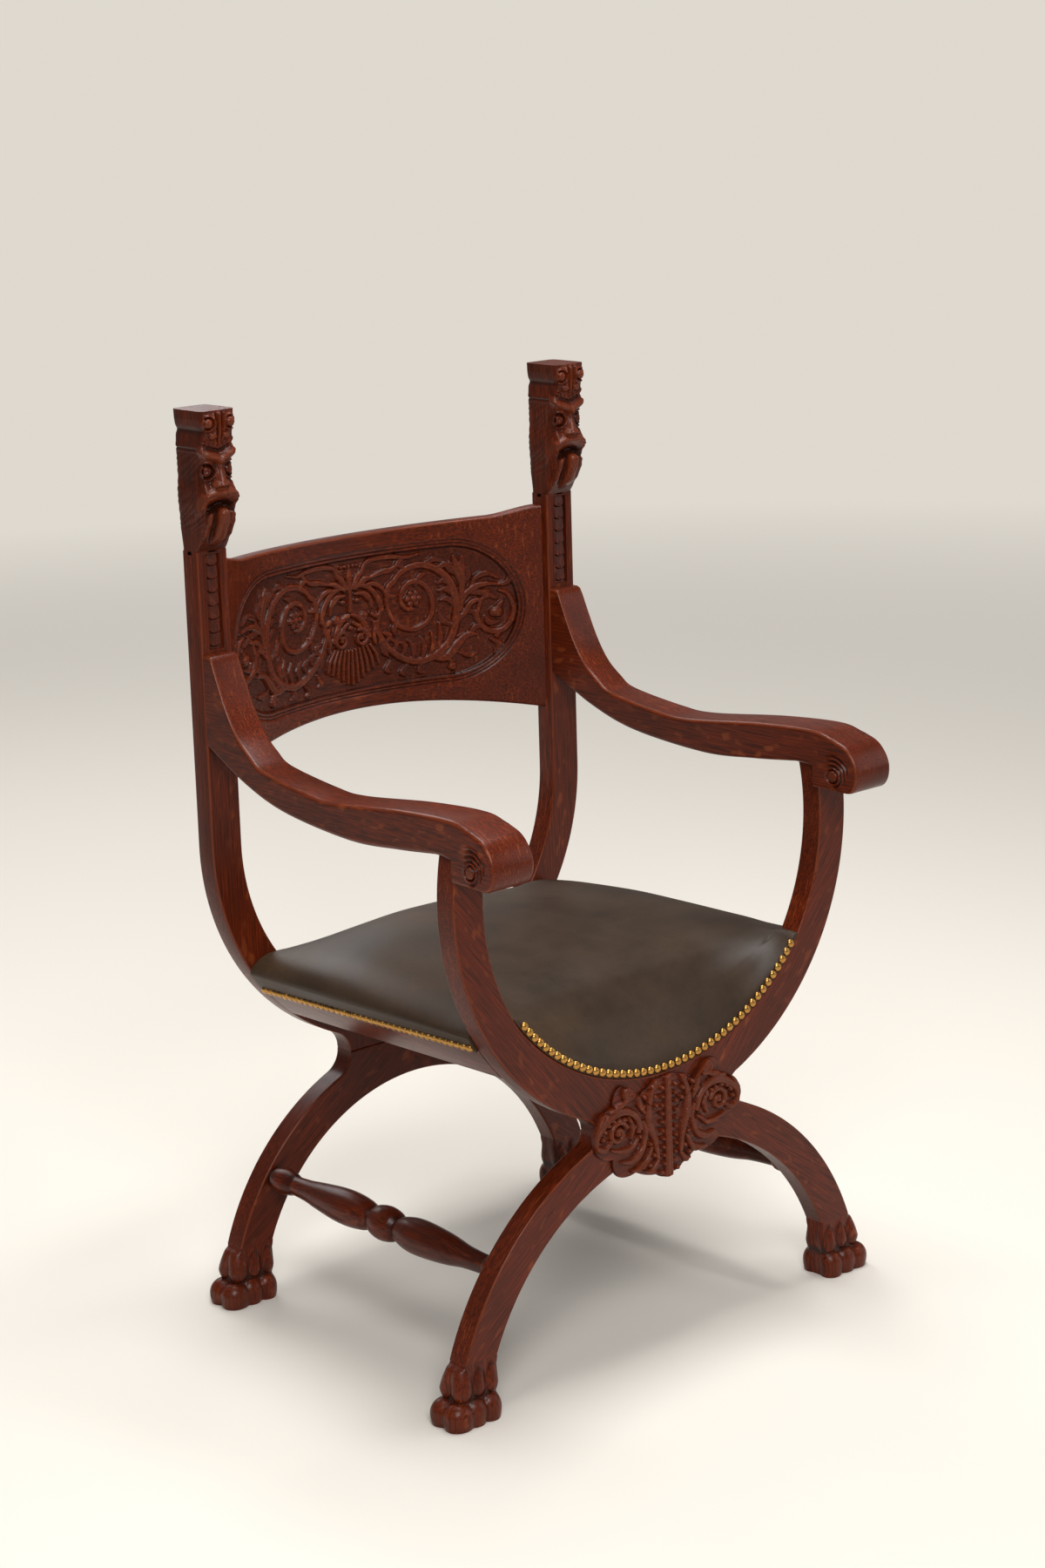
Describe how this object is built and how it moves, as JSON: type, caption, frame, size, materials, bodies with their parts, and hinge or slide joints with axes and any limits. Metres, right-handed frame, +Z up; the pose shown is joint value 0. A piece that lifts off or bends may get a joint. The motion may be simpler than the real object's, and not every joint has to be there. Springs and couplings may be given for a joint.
{
  "type": "savonarola armchair",
  "caption": "Rigid curule-frame armchair: two carved bowl-and-arch frames, dished carved back board, scrolled arms, turned stretchers and a nailed leather seat.",
  "frame": {"origin": "on the floor, under the middle of the whole chair's bounding box", "axes": "+Z up, the sitter faces -Y, +X is to the right of someone standing in front of the chair"},
  "size_m": [0.6658, 0.614, 1.067],
  "materials": {
    "black_cambric": "thin black cotton",
    "dowel_wood": "bare turned birch",
    "jute_webbing": "woven jute",
    "leather": "dark brown upholstery hide with a low sheen",
    "linen_canvas": "plain woven linen",
    "nail_brass": "antiqued domed brass",
    "rail_wood": "plain hardwood, hidden under the upholstery",
    "stained_oak": "red-brown stained and polished quarter-sawn oak"
  },
  "bodies": {
    "root": {"arm_dowels": "dowel_wood", "arm_left": "stained_oak", "arm_right": "stained_oak", "arm_tip_left": "stained_oak", "arm_tip_right": "stained_oak", "back_panel": "stained_oak", "dust_cover": "black_cambric", "front_cartouche": "stained_oak", "front_hub_dowels": "dowel_wood", "front_leg_left": "stained_oak", "front_leg_right": "stained_oak", "front_nails": "nail_brass", "front_paw_left": "stained_oak", "front_paw_right": "stained_oak", "front_post_left": "stained_oak", "front_post_right": "stained_oak", "front_seat_bearer": "rail_wood", "front_seat_board": "rail_wood", "panel_dowels": "dowel_wood", "paw_dowels": "dowel_wood", "rear_hub_dowels": "dowel_wood", "rear_leg_left": "stained_oak", "rear_leg_right": "stained_oak", "rear_paw_left": "stained_oak", "rear_paw_right": "stained_oak", "rear_seat_bearer": "rail_wood", "rear_stile_left": "stained_oak", "rear_stile_right": "stained_oak", "seat_canvas": "linen_canvas", "seat_leather": "leather", "seat_webbing": "jute_webbing", "side_nails_left": "nail_brass", "side_nails_right": "nail_brass", "side_rail_left": "stained_oak", "side_rail_right": "stained_oak", "side_stretcher_left": "stained_oak", "side_stretcher_right": "stained_oak"}
  },
  "joints": []
}
